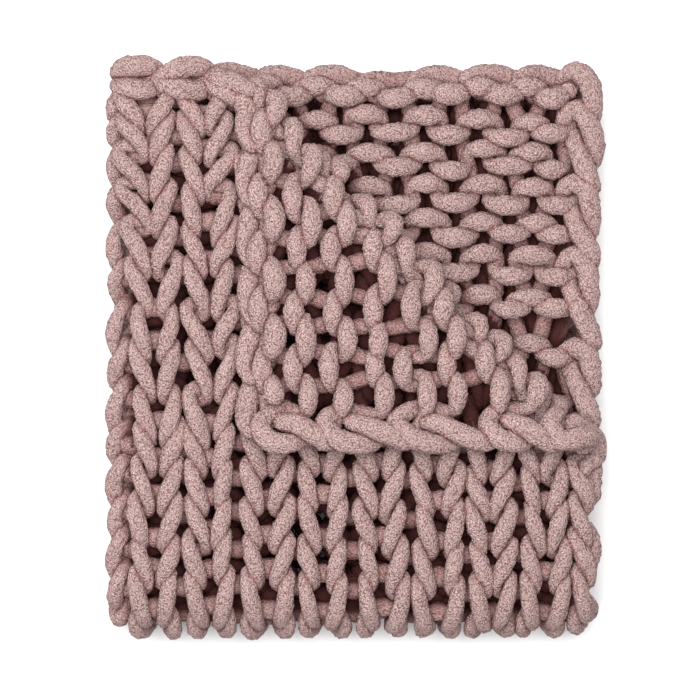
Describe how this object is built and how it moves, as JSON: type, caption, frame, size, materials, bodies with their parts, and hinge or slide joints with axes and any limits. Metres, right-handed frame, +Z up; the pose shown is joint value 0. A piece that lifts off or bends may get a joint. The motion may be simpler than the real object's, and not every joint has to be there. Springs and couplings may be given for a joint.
{
  "type": "chenille throw",
  "caption": "Chunky hand-knitted chenille throw, folded in quarters into a flat layered stack, with its top corner turned back to show the purl side",
  "frame": {"origin": "under the centre of the folded throw's box, on the surface it lies on", "axes": "+X towards the open side edges, away from the side fold; +Y along the folded throw's longer side, away from the end fold; +Z up"},
  "size_m": [0.6498, 0.772, 0.1873],
  "materials": {
    "chenille_yarn": "matt, dense nubby chenille pile in dusty rose"
  },
  "bodies": {
    "root": {"throw": "chenille_yarn"}
  },
  "joints": []
}
